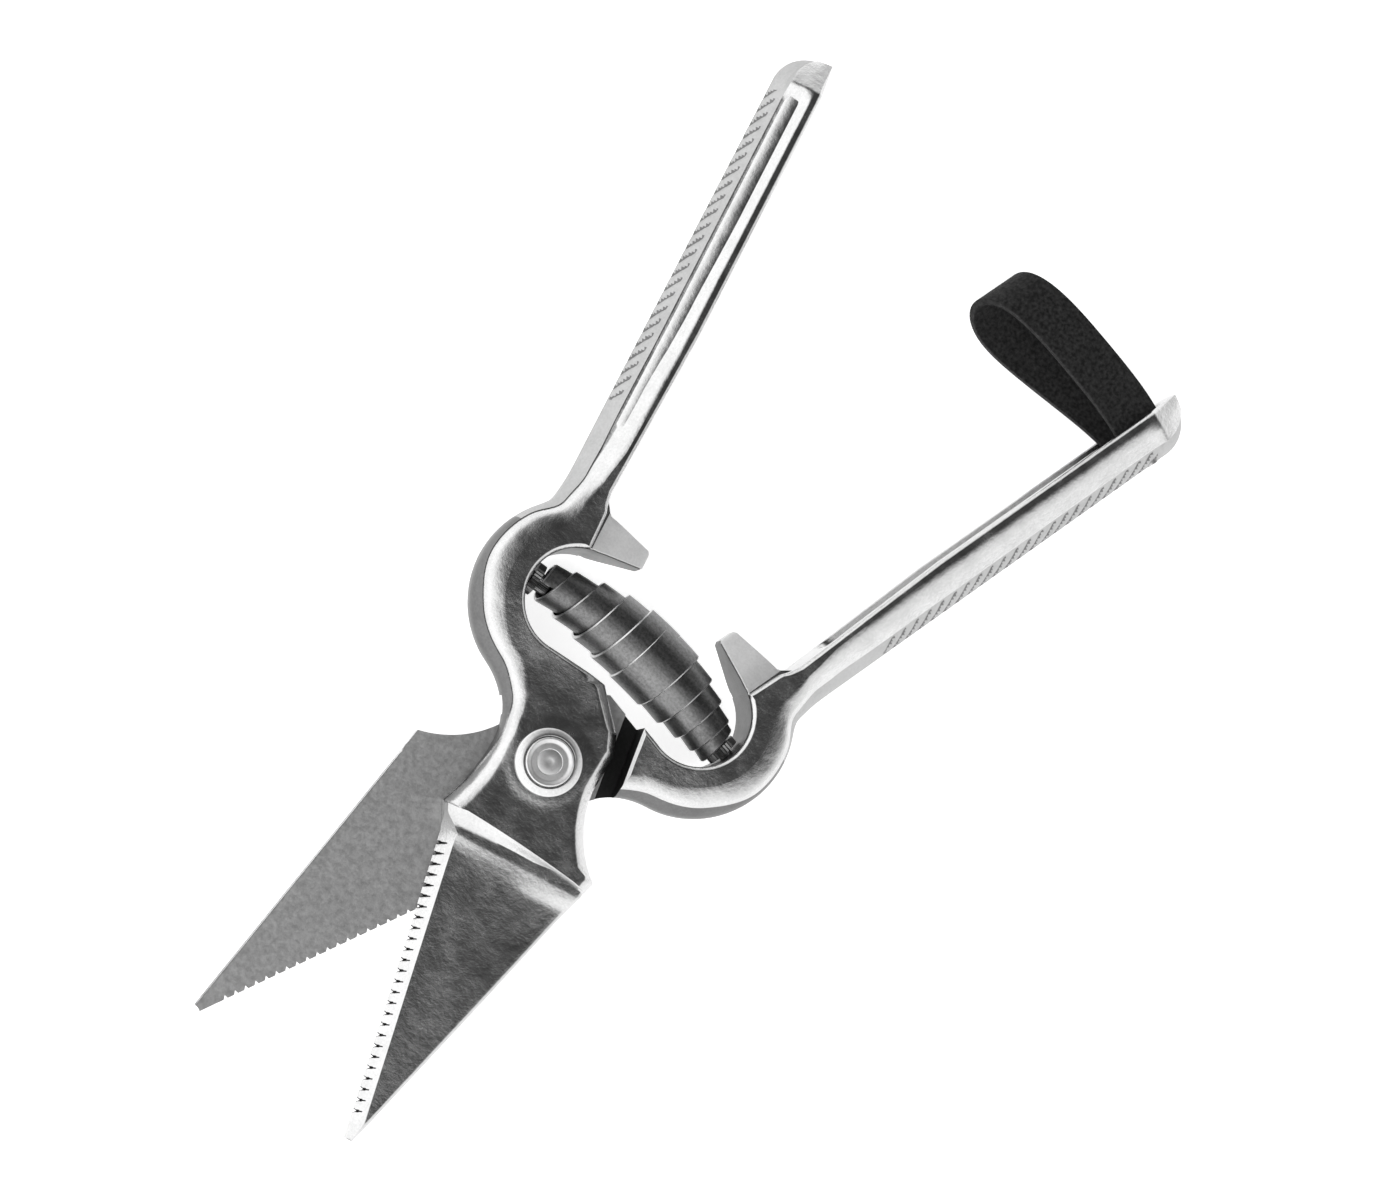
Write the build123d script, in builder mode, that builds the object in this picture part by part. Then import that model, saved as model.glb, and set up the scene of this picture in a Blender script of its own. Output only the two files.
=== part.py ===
from build123d import *
from math import atan2, cos, degrees, radians, sin
import os

# Poultry shears: two identical forged levers, lapped and riveted together, pushed
# apart by a double volute spring and held shut by a leather strap on the rear lever.
# Frame: the pivot runs up +Z through the origin, +Y halves the angle between the
# handles, and the peened end of the pivot rivet stands on z = 0. Millimetres.

# Driving dimensions
HALF_OPEN = 14.0        # each lever stands this many degrees from the closed position
MID = 7.6               # height of the plane where the two levers meet
HANDLE_HALF = 6.6       # half depth of the handle and of the spring seat
PIVOT_HALF = 5.5        # half depth at the pivot
LAP_GAP = 0.1           # each lever stops this short of the meeting plane
GROOVE_DEPTH = 1.0      # clearance groove beside the lap shoulder
GROOVE_WIDTH = 3.2

SEAT_CENTRE = (-8.9, 29.3)   # the C-shaped spring seat, in the closed lever's own frame
SEAT_INNER_R = 10.0
SEAT_OUTER_R = 19.7
WAIST_LEFT = -10.2
HANDLE_INNER_X = -11.3
HANDLE_OUTER_X = -20.6
HANDLE_TIP_Y = 146.6
TAB_TIP_X = -0.1
TAB_TIP_HALF = 2.2
TAB_ROOT_X = -11.0

SLOPE_WIDTH = 2.4       # sloping corners along the back of the handle and the seat
SLOPE_DEPTH = 2.8
SLOPE_FROM = 124.0      # where round the seat they start and end
SLOPE_TO = 240.0
CHANNEL_START_Y = 58.0
WEB = 2.0               # outer web of the channel handle
WALL = 1.9              # side walls of the channel handle

BOLSTER_Y = -14.6       # where the thick body starts to fall to the blade
BLADE_START_Y = -20.5
BLADE_THICK = 3.0
TIP_THICK = 1.8
EDGE_TOP = (-11.4, -19.6)    # cutting edge, from bolster to point
EDGE_TIP = (-1.3, -77.8)
POINT_WIDTH = 1.6
BEVEL_WIDTH = 2.6
TOOTH_PITCH = 2.05
TOOTH_COUNT = 26
TOOTH_DEPTH = 1.0
SHOULDER = (18.4, -15.8)

SHANK_R = 3.5
BORE_CLEARANCE = 0.05
BOSS_R = 7.4
BOSS_HEIGHT = 0.4
WASHER_R = 6.4
WASHER_THICK = 1.3
HEAD_R = 4.6
HEAD_SINK = 0.7         # how deep the rivet head sits in its cup washer
HEAD_TOP = MID          # the rivet is as long each way from the meeting plane

SEAT_ANGLE = 174.0      # where the stud stands on the seat's circle, seen from its centre
STUD_LEAN = -7.0        # it points midway between the spring's open and closed lines
STUD_SHANK_R = 1.6
STUD_SHANK = 3.0
COLLAR_R = 3.1          # knurled collar that carries the spring's end coil
COLLAR_SINK = 0.55      # the round wall falls away this far under the collar
COLLAR_STAND = 2.2
PEG_R = 2.0             # peg inside the end coil
PEG_STAND = 5.2
SPRING_GAP = 2.7        # from the seat wall to the spring's end coil
STRIP = 0.65            # spring strip thickness
COIL_RADII = (3.35, 4.6, 5.6, 6.3, 6.5, 6.5, 6.2, 5.4, 4.6, 4.0)

STRAP_Y = 135.4         # middle of the strap's width, along the closed rear lever
STRAP_WIDTH = 10.2
STRAP_THICK = 1.7
STRAP_LEAN = 14.0       # outside the channel the loop leans this much towards the pivot
STRAP_ROOT_HALF = 4.4   # half height of the loop inside the channel
STRAP_REACH = 36.5      # from the channel's mouth to the loop's nose
STRAP_BELLY = 6.2       # half height of the loop at its middle
STRAP_LIFT = 1.2        # the loop's nose lies this much above the meeting plane
RIVET_R = 1.2
RIVET_HEAD_R = 2.0
RIVET_HEAD_THICK = 0.8
STRAP_WASHER_R = 2.45
STRAP_WASHER_THICK = 0.4

FRONT = Plane(
    origin=(0, 0, MID),
    x_dir=(cos(radians(HALF_OPEN)), sin(radians(HALF_OPEN)), 0),
    z_dir=(0, 0, 1),
)
REAR = Plane(
    origin=(0, 0, MID),
    x_dir=(-cos(radians(HALF_OPEN)), sin(radians(HALF_OPEN)), 0),
    z_dir=(0, 0, -1),
)


def point(base, x, y, z=0.0):
    """A point of a lever's own frame, in the part's frame."""
    return base.origin + base.x_dir * x + base.y_dir * y + base.z_dir * z


def heading(base, x, y):
    """A direction in a lever's own plane, in the part's frame."""
    return base.x_dir * x + base.y_dir * y


def on_circle(centre, radius, angle):
    return (centre[0] + radius * cos(radians(angle)), centre[1] + radius * sin(radians(angle)))


def forge_lever(base):
    """One forging: blade, bolster, half lap, spring seat, stop tab and channel handle."""
    side = Plane(origin=base.origin, x_dir=base.y_dir, z_dir=base.x_dir)
    edge_run = (EDGE_TIP[0] - EDGE_TOP[0], EDGE_TIP[1] - EDGE_TOP[1])
    edge_length = (edge_run[0] ** 2 + edge_run[1] ** 2) ** 0.5
    run = (edge_run[0] / edge_length, edge_run[1] / edge_length)
    seat_start = on_circle(SEAT_CENTRE, SEAT_INNER_R, 270)
    seat_end = on_circle(SEAT_CENTRE, SEAT_INNER_R, 95)
    back_top = on_circle(SEAT_CENTRE, SEAT_OUTER_R, 129)
    back_bottom = on_circle(SEAT_CENTRE, SEAT_OUTER_R, 238)

    with BuildPart() as lever:
        # Body: pivot plate, spring seat, tab and the root of the handle
        with BuildSketch(base):
            with BuildLine():
                Line((3.2, 18.2), seat_start)
                ThreePointArc(seat_start, on_circle(SEAT_CENTRE, SEAT_INNER_R, 180), seat_end)
                Line(seat_end, (TAB_TIP_X, 41.1))
                Line((TAB_TIP_X, 41.1), (TAB_TIP_X, 44.9))
                Line((TAB_TIP_X, 44.9), (-10.2, 46.6))
                ThreePointArc((-10.2, 46.6), (-11.9, 47.8), (-12.5, 50.0))
                Line((-12.5, 50.0), (HANDLE_INNER_X, 85.0))
                Line((HANDLE_INNER_X, 85.0), (HANDLE_INNER_X, HANDLE_TIP_Y))
                Line((HANDLE_INNER_X, HANDLE_TIP_Y), (-13.0, HANDLE_TIP_Y))
                RadiusArc((-13.0, HANDLE_TIP_Y), (HANDLE_OUTER_X, 139.0), -7.6)
                Line((HANDLE_OUTER_X, 139.0), (HANDLE_OUTER_X, 50.5))
                ThreePointArc((HANDLE_OUTER_X, 50.5), (-20.9, 47.6), back_top)
                ThreePointArc(back_top, on_circle(SEAT_CENTRE, SEAT_OUTER_R, 180), back_bottom)
                ThreePointArc(back_bottom, (-12.4, 6.9), (WAIST_LEFT, 1.0))
                ThreePointArc((WAIST_LEFT, 1.0), (-11.1, -7.0), (-13.8, -14.6))
                Line((-13.8, -14.6), (-12.2, -17.6))
                Line((-12.2, -17.6), EDGE_TOP)
                Line(EDGE_TOP, EDGE_TIP)
                Line(EDGE_TIP, (EDGE_TIP[0] + POINT_WIDTH, EDGE_TIP[1]))
                Line((EDGE_TIP[0] + POINT_WIDTH, EDGE_TIP[1]), SHOULDER)
                ThreePointArc(SHOULDER, (12.4, -8.2), (10.4, -0.5))
                Line((10.4, -0.5), (11.0, 7.3))
                Line((11.0, 7.3), (9.6, 11.0))
                Line((9.6, 11.0), (3.2, 18.2))
            make_face()
        extrude(amount=HANDLE_HALF, both=True)

        # Sloping outer corners along the handle and round the seat
        seat_centre = point(base, *SEAT_CENTRE)
        slope_start = radians(SLOPE_FROM)
        sections = (
            Plane(origin=point(base, HANDLE_OUTER_X, 47.0), x_dir=-base.x_dir, z_dir=base.y_dir),
            Plane(
                origin=seat_centre + heading(base, cos(slope_start), sin(slope_start)) * SEAT_OUTER_R,
                x_dir=heading(base, cos(slope_start), sin(slope_start)),
                z_dir=heading(base, sin(slope_start), -cos(slope_start)),
            ),
        )
        for face in (1, -1):
            corner = [
                (0, face * (HANDLE_HALF - SLOPE_DEPTH)), (-SLOPE_WIDTH, face * HANDLE_HALF),
                (-SLOPE_WIDTH, face * 9), (3, face * 9), (3, face * (HANDLE_HALF - SLOPE_DEPTH)),
            ]
            with BuildSketch(sections[0]):
                Polygon(*corner, align=None)
            extrude(amount=HANDLE_TIP_Y - 47.0, mode=Mode.SUBTRACT)
            with BuildSketch(sections[1]):
                Polygon(*corner, align=None)
            revolve(
                axis=Axis(seat_centre, base.z_dir), revolution_arc=SLOPE_TO - SLOPE_FROM,
                mode=Mode.SUBTRACT,
            )

        # The channel, open towards the other handle
        with BuildSketch(base):
            with BuildLine():
                Line((-9.0, CHANNEL_START_Y), (-15.0, CHANNEL_START_Y))
                ThreePointArc((-15.0, CHANNEL_START_Y), (-17.6, 59.2), (-18.6, 62.0))
                Line((-18.6, 62.0), (-18.6, 140.4))
                ThreePointArc((-18.6, 140.4), (-17.7, 142.6), (-15.6, 143.4))
                Line((-15.6, 143.4), (-9.0, 143.4))
                Line((-9.0, 143.4), (-9.0, CHANNEL_START_Y))
            make_face()
        extrude(amount=HANDLE_HALF - WALL, both=True, mode=Mode.SUBTRACT)

        # Faces fall from the seat to the pivot, and at the bolster to the tapering blade
        with BuildSketch(side):
            with BuildLine():
                Line((26.0, HANDLE_HALF + 1), (26.0, HANDLE_HALF))
                Line((26.0, HANDLE_HALF), (13.0, PIVOT_HALF))
                Line((13.0, PIVOT_HALF), (BOLSTER_Y, PIVOT_HALF))
                ThreePointArc((BOLSTER_Y, PIVOT_HALF), (-16.6, 3.7), (BLADE_START_Y, BLADE_THICK))
                Line((BLADE_START_Y, BLADE_THICK), (-80.0, TIP_THICK))
                Line((-80.0, TIP_THICK), (-80.0, HANDLE_HALF + 1))
                Line((-80.0, HANDLE_HALF + 1), (26.0, HANDLE_HALF + 1))
            make_face()
        extrude(amount=30, both=True, mode=Mode.SUBTRACT)
        with BuildSketch(side):
            Polygon(
                (26.0, -HANDLE_HALF), (13.0, -PIVOT_HALF), (0.0, -PIVOT_HALF),
                (0.0, -HANDLE_HALF - 1), (26.0, -HANDLE_HALF - 1), align=None,
            )
        extrude(amount=30, both=True, mode=Mode.SUBTRACT)

        # The tab thins towards its tip, on both faces
        tab_side = Plane(origin=point(base, 0, 50), x_dir=base.x_dir, z_dir=-base.y_dir)
        for face in (1, -1):
            with BuildSketch(tab_side):
                Polygon(
                    (TAB_ROOT_X, face * HANDLE_HALF), (1.0, face * (TAB_TIP_HALF - 0.45)),
                    (1.0, face * 9.0), (TAB_ROOT_X, face * 9.0), align=None,
                )
            extrude(amount=13, mode=Mode.SUBTRACT)

        # Half lap: the back half is cut away up to a slanting shoulder
        with BuildSketch(base.offset(LAP_GAP)):
            Polygon((-3.0, 22.0), (-17.0, 1.7), (-17.0, -85.0), (30.0, -85.0), (30.0, 22.0), align=None)
        extrude(amount=-HANDLE_HALF - 1, mode=Mode.SUBTRACT)
        slant = (0.567, 0.823)
        with BuildSketch(base.offset(LAP_GAP + GROOVE_DEPTH)):
            Polygon(
                (-3.0, 22.0), (-17.0, 1.7),
                (-17.0 + GROOVE_WIDTH * slant[1], 1.7 - GROOVE_WIDTH * slant[0]),
                (-3.0 + GROOVE_WIDTH * slant[1], 22.0 - GROOVE_WIDTH * slant[0]), align=None,
            )
        extrude(amount=-GROOVE_DEPTH - LAP_GAP, mode=Mode.SUBTRACT)

        # Ground bevel and teeth of the cutting edge
        bevel_plane = Plane(
            origin=point(base, *EDGE_TIP, LAP_GAP),
            x_dir=heading(base, run[1], -run[0]),
            z_dir=heading(base, -run[0], -run[1]),
        )
        with BuildSketch(bevel_plane.offset(-2)):
            Polygon((0.3, 0.0), (-BEVEL_WIDTH, 3.0), (-BEVEL_WIDTH, 6.0), (3.0, 6.0), (3.0, 0.0), align=None)
        extrude(amount=edge_length + 1, mode=Mode.SUBTRACT)
        with BuildSketch(base):
            for tooth in range(TOOTH_COUNT):
                along = 0.8 + TOOTH_PITCH * tooth
                foot = (EDGE_TOP[0] + run[0] * along, EDGE_TOP[1] + run[1] * along)
                with Locations(foot):
                    Triangle(
                        a=TOOTH_PITCH * 0.86, b=TOOTH_DEPTH * 1.35, c=TOOTH_DEPTH * 1.35,
                        rotation=degrees(atan2(run[1], run[0])), align=(Align.CENTER, Align.MIN),
                    )
        extrude(amount=BLADE_THICK + 2, mode=Mode.SUBTRACT)

        # Boss and bore at the pivot, and the hole for the spring stud
        with BuildSketch(base.offset(PIVOT_HALF)):
            Circle(BOSS_R)
        extrude(amount=BOSS_HEIGHT)
        with BuildSketch(base.offset(-1)):
            Circle(SHANK_R + BORE_CLEARANCE)
        extrude(amount=PIVOT_HALF + 3, mode=Mode.SUBTRACT)
        with BuildSketch(seat_plane(base, -STUD_SHANK)):
            Circle(STUD_SHANK_R)
        extrude(amount=STUD_SHANK + 2, mode=Mode.SUBTRACT)
        with BuildSketch(seat_plane(base, COLLAR_SINK)):
            Circle(COLLAR_R + BORE_CLEARANCE)
        extrude(amount=3, mode=Mode.SUBTRACT)
        if base is REAR:
            with BuildSketch(web_plane(base)):
                Circle(RIVET_R)
            extrude(amount=2 * WEB, both=True, mode=Mode.SUBTRACT)
    return lever.part


def web_plane(base, offset=0.0):
    """Plane on the channel's floor under the strap, facing the other handle."""
    origin = point(base, HANDLE_OUTER_X + WEB + offset, STRAP_Y)
    return Plane(origin=origin, x_dir=(0, 0, 1), z_dir=base.x_dir)


def seat_plane(base, offset=0.0):
    """Plane on the seat wall where the spring bears, facing along the stud."""
    foot = on_circle(SEAT_CENTRE, SEAT_INNER_R, SEAT_ANGLE)
    lean = radians(STUD_LEAN)
    out = heading(base, cos(lean), sin(lean))
    origin = point(base, foot[0], foot[1]) + out * offset
    return Plane(origin=origin, x_dir=(0, 0, 1), z_dir=out)


def cup_washer(base):
    """A turned cup washer that takes the rivet head."""
    seat = PIVOT_HALF + BOSS_HEIGHT + BORE_CLEARANCE
    with BuildPart() as washer:
        with BuildSketch(base.offset(seat)):
            Circle(WASHER_R)
            Circle(SHANK_R + BORE_CLEARANCE, mode=Mode.SUBTRACT)
        extrude(amount=WASHER_THICK)
        rim = washer.edges().filter_by(GeomType.CIRCLE).sort_by(SortBy.RADIUS)[-2:]
        fillet(rim.sort_by(lambda e: base.to_local_coords(e).center().Z)[-1], radius=0.9)
        with BuildSketch(base.offset(seat + WASHER_THICK)):
            Circle(HEAD_R + BORE_CLEARANCE)
        extrude(amount=-HEAD_SINK, mode=Mode.SUBTRACT)
    return washer.part


def spring_stud(base):
    """A stud pressed into the seat: shank, knurled collar and a peg for the end coil."""
    with BuildPart() as stud:
        with BuildSketch(seat_plane(base, -STUD_SHANK)):
            Circle(STUD_SHANK_R)
        extrude(amount=STUD_SHANK + 1)
        with BuildSketch(seat_plane(base, COLLAR_SINK)):
            Circle(COLLAR_R)
        extrude(amount=COLLAR_STAND - COLLAR_SINK)
        with BuildSketch(seat_plane(base, COLLAR_STAND)):
            Circle(PEG_R)
        extrude(amount=PEG_STAND - COLLAR_STAND)
        out = Axis(seat_plane(base).origin, seat_plane(base).z_dir)
        fillet(stud.faces().sort_by(out)[-1].edges(), radius=0.8)
    return stud.part


os.makedirs("parts", exist_ok=True)

front_lever = forge_lever(FRONT)
rear_lever = forge_lever(REAR)
front_cup_washer = cup_washer(FRONT)
rear_cup_washer = cup_washer(REAR)
front_spring_stud = spring_stud(FRONT)
rear_spring_stud = spring_stud(REAR)

# Pivot rivet: shank through both levers, a head in each cup washer
head_seat = PIVOT_HALF + BOSS_HEIGHT + 2 * BORE_CLEARANCE + WASHER_THICK - HEAD_SINK
with BuildPart() as pivot_rivet:
    with BuildSketch(Plane.XY.offset(MID - head_seat)):
        Circle(SHANK_R)
    extrude(amount=2 * head_seat)
    for base in (FRONT, REAR):
        with BuildSketch(base.offset(head_seat)):
            Circle(HEAD_R)
        extrude(amount=HEAD_TOP - head_seat)
    fillet(pivot_rivet.faces().filter_by(Axis.Z).group_by(Axis.Z)[-1].edges(), radius=0.4)
    with BuildSketch(FRONT.offset(HEAD_TOP)):
        Circle(2.6)
        Circle(1.4, mode=Mode.SUBTRACT)
    extrude(amount=-0.35, mode=Mode.SUBTRACT)

# Double volute spring: telescoped turns of strip, widest in the middle
spring_start = seat_plane(FRONT, SPRING_GAP).origin
spring_end = seat_plane(REAR, SPRING_GAP).origin
spring_length = (spring_end - spring_start).length
spring_side = Plane(origin=spring_start, x_dir=(1, 0, 0), z_dir=(0, -1, 0))
step = spring_length / len(COIL_RADII)
with BuildPart() as volute_spring:
    with BuildSketch(spring_side):
        with BuildLine():
            outline = [(0, COIL_RADII[0] - STRIP)]
            for turn, radius in enumerate(COIL_RADII):
                outline += [(turn * step, radius), ((turn + 1) * step, radius)]
            outline.append((spring_length, COIL_RADII[-1] - STRIP))
            for turn in reversed(range(len(COIL_RADII))):
                inner = min(COIL_RADII[max(turn - 1, 0):turn + 2]) - STRIP
                outline += [((turn + 1) * step, inner), (turn * step, inner)]
            clean = [p for n, p in enumerate(outline) if n == 0 or p != outline[n - 1]]
            Polyline(*clean[:-1], close=True)
        make_face()
    revolve(axis=Axis(spring_start, (1, 0, 0)))

# Latch strap: a leather loop whose riveted root lies on the channel's floor
lean = radians(STRAP_LEAN)
strap_out = heading(REAR, cos(lean), -sin(lean))
strap_along = heading(REAR, sin(lean), cos(lean))
mouth = point(REAR, HANDLE_INNER_X, STRAP_Y)
loop_plane = Plane(origin=mouth - strap_along * (STRAP_WIDTH / 2), x_dir=strap_out, z_dir=strap_along)
root_plane = Plane(
    origin=point(REAR, HANDLE_INNER_X, STRAP_Y - STRAP_WIDTH / 2), x_dir=REAR.x_dir, z_dir=REAR.y_dir
)
floor_depth = HANDLE_OUTER_X + WEB + 0.05 - HANDLE_INNER_X
inside = STRAP_ROOT_HALF - STRAP_THICK
with BuildPart() as latch_strap:
    with BuildSketch(loop_plane):
        with BuildLine():
            Spline(
                (0, -STRAP_ROOT_HALF), (STRAP_REACH / 2, STRAP_LIFT / 2 - STRAP_BELLY),
                (STRAP_REACH, STRAP_LIFT),
                (STRAP_REACH / 2, STRAP_LIFT / 2 + STRAP_BELLY), (0, STRAP_ROOT_HALF),
                tangents=((1, 0), (-1, 0)),
            )
            Line((0, STRAP_ROOT_HALF), (0, inside))
            Spline(
                (0, inside), (STRAP_REACH / 2, STRAP_LIFT / 2 + STRAP_BELLY - STRAP_THICK),
                (STRAP_REACH - STRAP_THICK, STRAP_LIFT),
                (STRAP_REACH / 2, STRAP_LIFT / 2 - STRAP_BELLY + STRAP_THICK), (0, -inside),
                tangents=((1, 0), (-1, 0)),
            )
            Line((0, -inside), (0, -STRAP_ROOT_HALF))
        make_face()
    extrude(amount=STRAP_WIDTH)
    with BuildSketch(root_plane):
        Polygon(
            (1.3, STRAP_ROOT_HALF), (floor_depth, STRAP_ROOT_HALF),
            (floor_depth, -STRAP_ROOT_HALF), (1.3, -STRAP_ROOT_HALF), (1.3, -inside),
            (floor_depth + STRAP_THICK, -inside), (floor_depth + STRAP_THICK, inside),
            (1.3, inside), align=None,
        )
    extrude(amount=STRAP_WIDTH)
    with BuildSketch(web_plane(REAR)):
        Circle(RIVET_R)
    extrude(amount=STRAP_THICK + 1, mode=Mode.SUBTRACT)

# Strap rivet, flush in the web, and the washer under its head
washer_seat = STRAP_THICK + 0.05
with BuildPart() as strap_washer:
    with BuildSketch(web_plane(REAR, washer_seat)):
        Circle(STRAP_WASHER_R)
        Circle(RIVET_R, mode=Mode.SUBTRACT)
    extrude(amount=STRAP_WASHER_THICK)
with BuildPart() as strap_rivet:
    with BuildSketch(web_plane(REAR, -WEB)):
        Circle(RIVET_R)
    extrude(amount=WEB + washer_seat + STRAP_WASHER_THICK)
    with BuildSketch(web_plane(REAR, washer_seat + STRAP_WASHER_THICK)):
        Circle(RIVET_HEAD_R)
    extrude(amount=RIVET_HEAD_THICK)
    fillet(strap_rivet.faces().sort_by(Axis(REAR.origin, REAR.x_dir))[-1].edges(), radius=0.5)

for name, solid in (
    ("front_lever", front_lever), ("rear_lever", rear_lever),
    ("front_cup_washer", front_cup_washer), ("rear_cup_washer", rear_cup_washer),
    ("front_spring_stud", front_spring_stud), ("rear_spring_stud", rear_spring_stud),
    ("pivot_rivet", pivot_rivet.part), ("volute_spring", volute_spring.part),
    ("latch_strap", latch_strap.part), ("strap_washer", strap_washer.part),
    ("strap_rivet", strap_rivet.part),
):
    solid.label = name
    export_step(solid, f"parts/{name}.step")
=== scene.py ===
from math import atan2, cos, degrees, exp, hypot, pi, radians, sin, sqrt

import bpy
from mathutils import Matrix, Vector


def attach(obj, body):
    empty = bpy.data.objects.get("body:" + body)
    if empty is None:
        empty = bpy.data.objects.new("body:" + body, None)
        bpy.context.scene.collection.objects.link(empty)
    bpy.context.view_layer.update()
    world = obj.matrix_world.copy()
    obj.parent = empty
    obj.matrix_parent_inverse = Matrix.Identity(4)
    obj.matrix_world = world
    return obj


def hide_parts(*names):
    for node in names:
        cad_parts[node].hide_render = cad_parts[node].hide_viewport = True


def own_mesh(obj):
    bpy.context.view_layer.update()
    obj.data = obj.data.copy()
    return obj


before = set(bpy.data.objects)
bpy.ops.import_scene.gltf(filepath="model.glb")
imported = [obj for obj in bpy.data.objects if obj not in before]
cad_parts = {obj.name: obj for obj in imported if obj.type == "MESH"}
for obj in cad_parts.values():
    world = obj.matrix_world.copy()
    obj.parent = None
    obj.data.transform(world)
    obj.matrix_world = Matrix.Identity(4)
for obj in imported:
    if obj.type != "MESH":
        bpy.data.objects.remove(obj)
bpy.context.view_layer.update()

bpy.ops.object.select_all(action="DESELECT")

# The table that the shears lie on, the studio's light and the camera.
# The room's light stands low round a dark ceiling, so that flat polished faces go dark and slopes shine.
MM = 0.001
studio = bpy.context.scene
camera = bpy.data.objects.new("camera", bpy.data.cameras.new("camera"))
studio.collection.objects.link(camera)
camera.location = (-0.08159, -0.10721, 0.63424)
camera.rotation_euler = (radians(5.16), radians(-14.54), radians(41.15))
camera.data.lens = 87.97
camera.data.sensor_width = 36
camera.data.clip_start = 0.01
studio.camera = camera

# The room is dark above the shears and brightens evenly down to its walls.
DARK_ABOVE = (0.034, 0.494, 0.869)
BRIGHT_SIDE = (-0.753, -0.658, 0.0)
DARKEST = 0.03
ROOM_LIGHT = 1.6
ROOM_RAMP = ((0.0, 1.0), (0.42, 0.92), (0.58, 0.76), (0.68, 0.52), (0.77, 0.24), (0.84, 0.12), (0.91, 0.05))
room = bpy.data.worlds.new("room")
room.use_nodes = True
walls = room.node_tree
look = walls.nodes.new("ShaderNodeTexCoord")
from_dark = walls.nodes.new("ShaderNodeVectorMath")
from_dark.operation = "DOT_PRODUCT"
from_dark.inputs[1].default_value = DARK_ABOVE
glow = walls.nodes.new("ShaderNodeValToRGB")
glow.color_ramp.interpolation = "LINEAR"
for place, light in ROOM_RAMP:
    stop = glow.color_ramp.elements.new(place) if place > 0 else glow.color_ramp.elements[0]
    stop.position = place
    stop.color = (light, light, light, 1)
glow.color_ramp.elements[-1].position = 1.0
glow.color_ramp.elements[-1].color = (DARKEST, DARKEST, DARKEST, 1)
towards = walls.nodes.new("ShaderNodeVectorMath")
towards.operation = "DOT_PRODUCT"
towards.inputs[1].default_value = BRIGHT_SIDE
lean = walls.nodes.new("ShaderNodeMapRange")
lean.inputs["From Min"].default_value = -1.0
lean.inputs["From Max"].default_value = 0.6
lean.inputs["To Min"].default_value = 0.74
lean.inputs["To Max"].default_value = 1.0
dim = walls.nodes.new("ShaderNodeMath")
dim.operation = "MULTIPLY"
dim.inputs[1].default_value = ROOM_LIGHT
walls.links.new(look.outputs["Generated"], from_dark.inputs[0])
walls.links.new(look.outputs["Generated"], towards.inputs[0])
walls.links.new(from_dark.outputs["Value"], glow.inputs["Fac"])
walls.links.new(glow.outputs["Color"], walls.nodes["Background"].inputs["Color"])
walls.links.new(towards.outputs["Value"], lean.inputs["Value"])
walls.links.new(lean.outputs["Result"], dim.inputs[0])
walls.links.new(dim.outputs[0], walls.nodes["Background"].inputs["Strength"])
studio.world = room
studio.view_settings.view_transform = "Standard"

bpy.ops.mesh.primitive_plane_add(size=4, location=(0, 0, 0))
table = bpy.context.object
table.name = "table"
card = bpy.data.materials.new("white_card")
card.use_nodes = True
card_face = card.node_tree.nodes["Principled BSDF"]
card_face.inputs["Base Color"].default_value = (0.8, 0.8, 0.8, 1)
card_face.inputs["Roughness"].default_value = 0.7
card_face.inputs["Emission Color"].default_value = (1, 1, 1, 1)
card_face.inputs["Emission Strength"].default_value = 0.76
table.data.materials.append(card)
table.select_set(False)


# Front lever: one drop forging in steel, with its serrated blade, lapped pivot plate,
# spring seat, stop tab and channel handle. It is trimmed, ground, polished and chromed.
# Sizes are in millimetres on the closed lever, with its pivot at the origin and the handle up y.
MID = 7.6
HALF_OPEN = 14
SEAT = (-8.9, 29.3)
SEAT_INNER = 10.0
SEAT_OUTER = 19.7
HANDLE_OUT = -20.6
HANDLE_IN = -11.3
HANDLE_FOOT = 50.5
GRIP_FOOT = 66.0
END_START = 139.0
END_ROUND = 7.6
WAIST = (-10.2, 1.0)
PLATE_CORNER = (9.6, 11.0)
BOLSTER_TOP = -14.6
EDGE_TOP = (-11.4, -19.6)
EDGE_TIP = (-1.3, -77.8)
BACK_TOP = (17.25, -19.75)
BACK_TIP = (0.3, -77.8)
SHOULDER = (18.4, -15.8)
GROOVE_LOW = (-17.0, 1.7)
GROOVE_HIGH = (-3.0, 22.0)
GROOVE_SIDE = (0.823, -0.567)
LAP_LEVEL = 0.1
GROOVE_LEVEL = 1.1
TOOTH_PITCH = 2.05
TOOTH_DEPTH = 1.75
TOOTH_FIRST = 0.9
TOOTH_COUNT = 26
RIB_PITCH = 3.1


def metal_node(tree, kind, **settings):
    made = tree.nodes.new(kind)
    for name, value in settings.items():
        setattr(made, name, value)
    return made


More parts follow.
